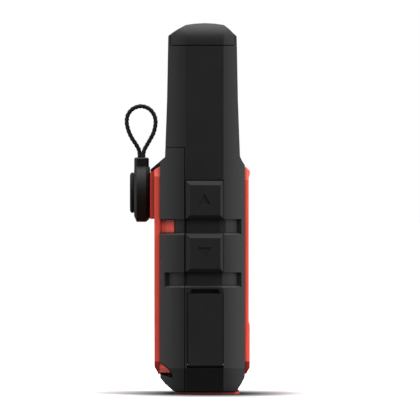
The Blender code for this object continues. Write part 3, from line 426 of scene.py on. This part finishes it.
RUBBER = (0.0052, 0.0052, 0.0056)
FINISHES = {
    "housing_black": moulded("moulded_black", (0.0055, 0.0055, 0.0060), 0.44),
    "rubber_black": moulded("soft_rubber", RUBBER, 0.54, grain=5.0, depth=0.009, worn=0.25, level=0.42),
    "adapter_grey": moulded("satin_black", RUBBER, 0.62, grain=8.0, depth=0.005, worn=0.3, level=0.22),
    "plate_red": moulded("moulded_red", (0.62, 0.060, 0.038), 0.38, 6.0, 0.004, 0.15, crevice_shade=RED_CREVICE_SHADE),
    "actuator": moulded("natural_nylon", (0.62, 0.58, 0.50), 0.5, grain=4.0, worn=0.2),
    "steel": metal("plated_steel", (0.60, 0.60, 0.59), 0.30),
    "copper": metal("drawn_copper", (0.72, 0.36, 0.20), 0.28, (1, 1, 6)),
    "board": board,
    "ceramic": ceramic,
    "cell_wrap": cell_wrap,
    "foam": foam,
    "lcd": liquid_crystal,
    "lens_glass": window_glass,
    "led_lens": led_lens,
    "cord": moulded("knotted_yarn", (0.014, 0.014, 0.015), 0.8, 3.0, 0.05, 0.0),
}


# ---------------------------------------------------------------- CAD nodes
def weld_group():
    """Geometry nodes that drop the stored normals and join coincident points."""
    group = bpy.data.node_groups.new("weld", "GeometryNodeTree")
    for direction in ("INPUT", "OUTPUT"):
        group.interface.new_socket("Geometry", in_out=direction, socket_type="NodeSocketGeometry")
    start = group.nodes.new("NodeGroupInput")
    end = group.nodes.new("NodeGroupOutput")
    drop = node(group, "GeometryNodeRemoveAttribute", {"Geometry": start.outputs[0], "Name": "custom_normal"})
    join = node(group, "GeometryNodeMergeByDistance", {"Geometry": drop.outputs[0], "Distance": 1e-6})
    group.links.new(join.outputs[0], end.inputs[0])
    return group


def smooth_group(angle):
    """Geometry nodes that shade smooth, with edges over the angle kept sharp."""
    group = bpy.data.node_groups.new("smooth_by_angle", "GeometryNodeTree")
    for direction in ("INPUT", "OUTPUT"):
        group.interface.new_socket("Geometry", in_out=direction, socket_type="NodeSocketGeometry")
    start = group.nodes.new("NodeGroupInput")
    end = group.nodes.new("NodeGroupOutput")
    edges = group.nodes.new("GeometryNodeInputMeshEdgeAngle")
    angles = {0: edges.outputs[0], 1: math.radians(angle)}
    steep = node(group, "FunctionNodeCompare", angles, operation="GREATER_THAN")
    faces = node(group, "GeometryNodeSetShadeSmooth", {0: start.outputs[0], 2: True}, domain="FACE")
    creased = {0: faces.outputs[0], 1: steep.outputs[0], 2: False}
    sharp = node(group, "GeometryNodeSetShadeSmooth", creased, domain="EDGE")
    group.links.new(sharp.outputs[0], end.inputs[0])
    return group


def refine(obj, groups, width):
    """Rounds the edges of a CAD node by this width in millimetres, and shades its curves smooth."""
    weld, smooth = groups
    obj.modifiers.new("weld", "NODES").node_group = weld
    if width:
        flat = obj.modifiers.new("flat_faces", "DECIMATE")
        flat.decimate_type = "DISSOLVE"
        flat.angle_limit = math.radians(0.3)
        edge = obj.modifiers.new("edge", "BEVEL")
        edge.width = width * MM
        edge.segments = 2
        edge.limit_method = "ANGLE"
        edge.angle_limit = math.radians(20)
        edge.harden_normals = False
    obj.modifiers.new("smooth", "NODES").node_group = smooth
    weight = obj.modifiers.new("weighted", "WEIGHTED_NORMAL")
    weight.keep_sharp = True


# Edges are rounded by this many millimetres, except on the big mouldings and the round wires
EDGE_WIDTH = 0.12
PLAIN_EDGES = (
    "front_housing", "rear_housing", "rear_shell", "antenna_helix", "antenna_coax", "lanyard_cord",
)
SHARP_ANGLE = 16  # degrees
SIDE_KEYS = ("scroll_up_key", "scroll_down_key", "back_key", "ok_key")


def dress_nodes():
    groups = weld_group(), smooth_group(SHARP_ANGLE)
    keypad = moulded("keypad_rubber", RUBBER, 0.54, 5.0, 0.009, 0.25, 0.42, symbol=True)
    for name, obj in nodes.items():
        slot_name = obj.material_slots[0].material.name.split(".")[0]
        refine(obj, groups, 0.0 if name in PLAIN_EDGES else EDGE_WIDTH)
        finish = keypad if name in SIDE_KEYS else FINISHES[slot_name]
        finish(obj)


# ---------------------------------------------------------------- seams between the mouldings
# Where the gaskets lie in the gaps between the solids, in millimetres
PARTING_GAP = (4.57, 4.75)
TOWER_GAP = (65.83, 65.97)
CAP_GAPS = {"cap_gasket_back": (8.33, 8.44), "cap_gasket_front": (-8.84, -8.73)}
SOS_CENTRE, SOS_BUTTON_R = (-0.65, 17.0), 4.3
ADAPTER_CENTRE = (0.0, 53.85)
GASKET_ROUNDING = 0.01


def seam(name, axis, outer, inner, low, high, body):
    """A soft gasket that closes a joint line: an outline, with or without a hole, along the axis."""
    def order(a, b):
        return {"X": (low, a, b), "Y": (a, low, b), "Z": (a, b, low)}[axis]

    work = bmesh.new()
    rim = [work.verts.new(Vector(order(a, b)) * MM) for a, b in outer]
    if inner:
        hole = [work.verts.new(Vector(order(a, b)) * MM) for a, b in inner]
        flat = [work.faces.new((rim[i - 1], rim[i], hole[i], hole[i - 1])) for i in range(len(rim))]
    else:
        flat = [work.faces.new(rim)]
    made = bmesh.ops.extrude_face_region(work, geom=flat)["geom"]
    step = Vector([high - low if axis == letter else 0.0 for letter in "XYZ"]) * MM
    moved = [item for item in made if isinstance(item, bmesh.types.BMVert)]
    bmesh.ops.translate(work, verts=moved, vec=step)
    bmesh.ops.recalc_face_normals(work, faces=work.faces)
    mesh = bpy.data.meshes.new(name)
    work.to_mesh(mesh)
    work.free()
    gasket = bpy.data.objects.new(name, mesh)
    bpy.context.scene.collection.objects.link(gasket)
    edge = gasket.modifiers.new("rounded", "BEVEL")
    edge.width, edge.segments = GASKET_ROUNDING * MM, 2
    moulded("seam_rubber", (0.004, 0.004, 0.004), 0.8, grain=4.0, depth=0.02, worn=0.0, level=0.1)(gasket)
    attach(gasket, body)


def circle(centre, radius, sides=40):
    angles = [2 * math.pi * i / sides for i in range(sides)]
    return [(centre[0] + radius * math.cos(t), centre[1] + radius * math.sin(t)) for t in angles]


def slot_band(a, b, wall):
    """The outer and inner loops of a flat band in a rectangle."""
    (a0, a1), (b0, b1) = a, b
    outer = [(a0, b0), (a1, b0), (a1, b1), (a0, b1)]
    inner = [(a0 + wall, b0 + wall), (a1 - wall, b0 + wall), (a1 - wall, b1 - wall), (a0 + wall, b1 - wall)]
    return outer, inner


def parting_gasket():
    """Round the joint line between the front and rear housings, and up beside the tower."""
    outer = [
        (-19.9, 1.3), (19.9, 1.3), (24.5, 7.4), (24.5, 58.6), (18.9, 64.5), (-5.0, 64.5), (-6.4, 65.96),
        (-24.7, 65.96), (-24.5, 7.4),
    ]
    inner = [
        (-19.2, 2.2), (19.2, 2.2), (23.4, 8.0), (23.4, 58.2), (18.5, 63.5), (-4.8, 63.5), (-6.4, 63.5),
        (-23.5, 63.5), (-23.4, 8.0),
    ]
    seam("parting_gasket", "Y", outer, inner, *PARTING_GAP, "device")
    tower = [(-24.5, 4.76), (-6.9, 4.76), (-6.9, 9.72), (-21.6, 9.72), (-23.6, 7.6)]
    seam("tower_gasket", "Z", tower, None, *TOWER_GAP, "device")


def seams():
    """The joint lines show no light: each has a gasket set a little below the skin."""
    parting_gasket()
    ears = slot_band((-22.0, -9.0), (93.03, 96.0), 0.5)
    for name, gap in CAP_GAPS.items():
        seam(name, "Y", *ears, *gap, "device")
    under_visor = [(10.45, 61.49), (12.5, 60.2), (12.5, 60.34), (10.45, 61.63)]
    seam("visor_gasket", "X", under_visor, None, -14.2, 14.2, "device")
    under_tip = [(12.4, 60.27), (13.8, 59.38), (13.8, 59.52), (12.4, 60.41)]
    seam("visor_tip_gasket", "X", under_tip, None, -7.6, 7.6, "device")
    button = circle(SOS_CENTRE, 5.0), circle(SOS_CENTRE, SOS_BUTTON_R + 0.03)
    seam("sos_button_gasket", "X", *button, 22.75, 22.97, "device")
    pad = circle(ADAPTER_CENTRE, 6.9), circle(ADAPTER_CENTRE, 4.6)
    seam("adapter_pad", "Y", *pad, 14.0, 14.25, "adapter")
    under_cap = circle(ADAPTER_CENTRE, 5.2), circle(ADAPTER_CENTRE, 2.6)
    seam("adapter_cap_gasket", "Y", *under_cap, 18.32, 18.38, "adapter")


# ---------------------------------------------------------------- lanyard cord
def spline_through(points, step):
    """Points evenly spaced on a smooth curve through the given ones."""
    ends = [2 * points[0] - points[1], *points, 2 * points[-1] - points[-2]]
    dense = []
    for before, a, b, after in zip(ends, ends[1:], ends[2:], ends[3:]):
        for i in range(40):
            t = i / 40
            bend = 2 * before - 5 * a + 4 * b - after
            twist = -before + 3 * a - 3 * b + after
            dense.append(0.5 * (2 * a + (b - before) * t + bend * t * t + twist * t ** 3))
    dense.append(points[-1])
    even, run = [dense[0]], 0.0
    for a, b in zip(dense, dense[1:]):
        length = (b - a).length
        while run + length >= step * len(even):
            even.append(a.lerp(b, (step * len(even) - run) / length))
        run += length
    return even, run


def braid_relief(turn, along):
    """Height from 0 to 1 of a round braid at this share of a turn and distance along it."""
    rising = BRAID_STRANDS * (turn + along / BRAID_PITCH)
    falling = BRAID_STRANDS * (turn - along / BRAID_PITCH)
    over = (math.floor(rising) + math.floor(falling)) % 2
    across, with_strand = (rising, falling) if over else (falling, rising)
    crown = math.sin(math.pi * (across % 1.0))
    arch = math.sin(math.pi * (with_strand % 1.0))
    return max(crown, 0.0) ** 0.6 * (0.35 + 0.65 * arch)


def braided_cord():
    """A tube whose surface is worked into crossing strands."""
    line, length = spline_through(CORD_ROUTE, BRAID_STEP)
    work = bmesh.new()
    uv = work.loops.layers.uv.new("braid")
    relief = work.verts.layers.float.new("relief")
    side = Vector((1, 0, 0))
    rings, places = [], []
    for i, point in enumerate(line):
        ahead = line[min(i + 1, len(line) - 1)] - line[max(i - 1, 0)]
        ahead.normalize()
        side = (side - ahead * side.dot(ahead)).normalized()
        other = ahead.cross(side)
        ring = []
        for j in range(BRAID_SIDES):
            turn = j / BRAID_SIDES
            height = braid_relief(turn, i * BRAID_STEP)
            radius = CORD_D / 2 - BRAID_RELIEF * (1 - height)
            angle = 2 * math.pi * turn
            vert = work.verts.new(point + (side * math.cos(angle) + other * math.sin(angle)) * radius)
            vert[relief] = height
            ring.append(vert)
        rings.append(ring)
    for i, (lower, upper) in enumerate(zip(rings, rings[1:])):
        for j in range(BRAID_SIDES):
            k = (j + 1) % BRAID_SIDES
            face = work.faces.new((lower[j], lower[k], upper[k], upper[j]))
            face.smooth = True
            corners = ((j, i), (j + 1, i), (j + 1, i + 1), (j, i + 1))
            for loop, (a, b) in zip(face.loops, corners):
                loop[uv].uv = (a / BRAID_SIDES * 3.8, b * BRAID_STEP / MM)
    work.faces.new(rings[0][::-1])
    work.faces.new(rings[-1])
    mesh = bpy.data.meshes.new("braided_cord")
    work.to_mesh(mesh)
    work.free()
    cord = bpy.data.objects.new("braided_cord", mesh)
    bpy.context.scene.collection.objects.link(cord)
    braided_yarn(cord)
    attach(cord, "adapter")
    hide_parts("lanyard_cord")


# ---------------------------------------------------------------- scene
def main():
    bpy.context.scene.view_settings.view_transform = "Standard"
    add_camera()
    braided_cord()
    seams()
    add_world()
    add_lights()
    add_floor()
    dress_nodes()


main()
